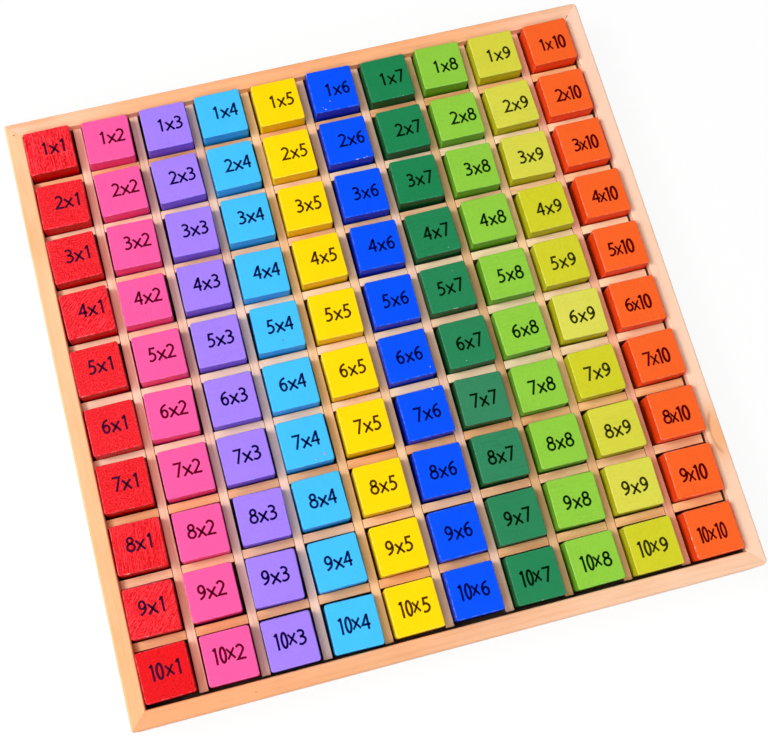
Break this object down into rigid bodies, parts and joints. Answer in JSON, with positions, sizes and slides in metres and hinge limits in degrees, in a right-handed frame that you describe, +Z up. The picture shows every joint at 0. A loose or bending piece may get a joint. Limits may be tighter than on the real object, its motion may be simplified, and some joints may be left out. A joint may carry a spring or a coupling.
{
  "type": "multiplication table puzzle",
  "caption": "Square wooden tray with a slotted strip grid whose cells hold loose cube blocks, painted one colour per column, with a multiplication printed on each top.",
  "frame": {"origin": "middle of the tray's underside, on the surface that it stands on", "axes": "+X along a row of the table from its first column, +Y to the back where the first row is, +Z up"},
  "size_m": [0.225, 0.225, 0.0218],
  "materials": {
    "rail_pine": "pale pine, sanded, clear matt",
    "base_plywood": "thin plywood, plain",
    "column_strip_wood": "pale wood, sawn edge",
    "row_strip_wood": "pale wood, sawn edge",
    "paint_red": "red satin paint on wood",
    "paint_pink": "pink satin paint on wood",
    "paint_violet": "violet satin paint on wood",
    "paint_sky": "sky satin paint on wood",
    "paint_yellow": "yellow satin paint on wood",
    "paint_blue": "blue satin paint on wood",
    "paint_green": "green satin paint on wood",
    "paint_leaf": "leaf satin paint on wood",
    "paint_lime": "lime satin paint on wood",
    "paint_orange": "orange satin paint on wood"
  },
  "bodies": {
    "root": {"rail_front": "rail_pine", "rail_back": "rail_pine", "rail_left": "rail_pine", "rail_right": "rail_pine", "base_panel": "base_plywood", "column_strip_1": "column_strip_wood", "column_strip_2": "column_strip_wood", "column_strip_3": "column_strip_wood", "column_strip_4": "column_strip_wood", "column_strip_5": "column_strip_wood", "column_strip_6": "column_strip_wood", "column_strip_7": "column_strip_wood", "column_strip_8": "column_strip_wood", "column_strip_9": "column_strip_wood", "row_strip_1": "row_strip_wood", "row_strip_2": "row_strip_wood", "row_strip_3": "row_strip_wood", "row_strip_4": "row_strip_wood", "row_strip_5": "row_strip_wood", "row_strip_6": "row_strip_wood", "row_strip_7": "row_strip_wood", "row_strip_8": "row_strip_wood", "row_strip_9": "row_strip_wood", "blocks_red": "paint_red", "blocks_pink": "paint_pink", "blocks_violet": "paint_violet", "blocks_sky": "paint_sky", "blocks_yellow": "paint_yellow", "blocks_blue": "paint_blue", "blocks_green": "paint_green", "blocks_leaf": "paint_leaf", "blocks_lime": "paint_lime", "blocks_orange": "paint_orange"}
  },
  "joints": []
}
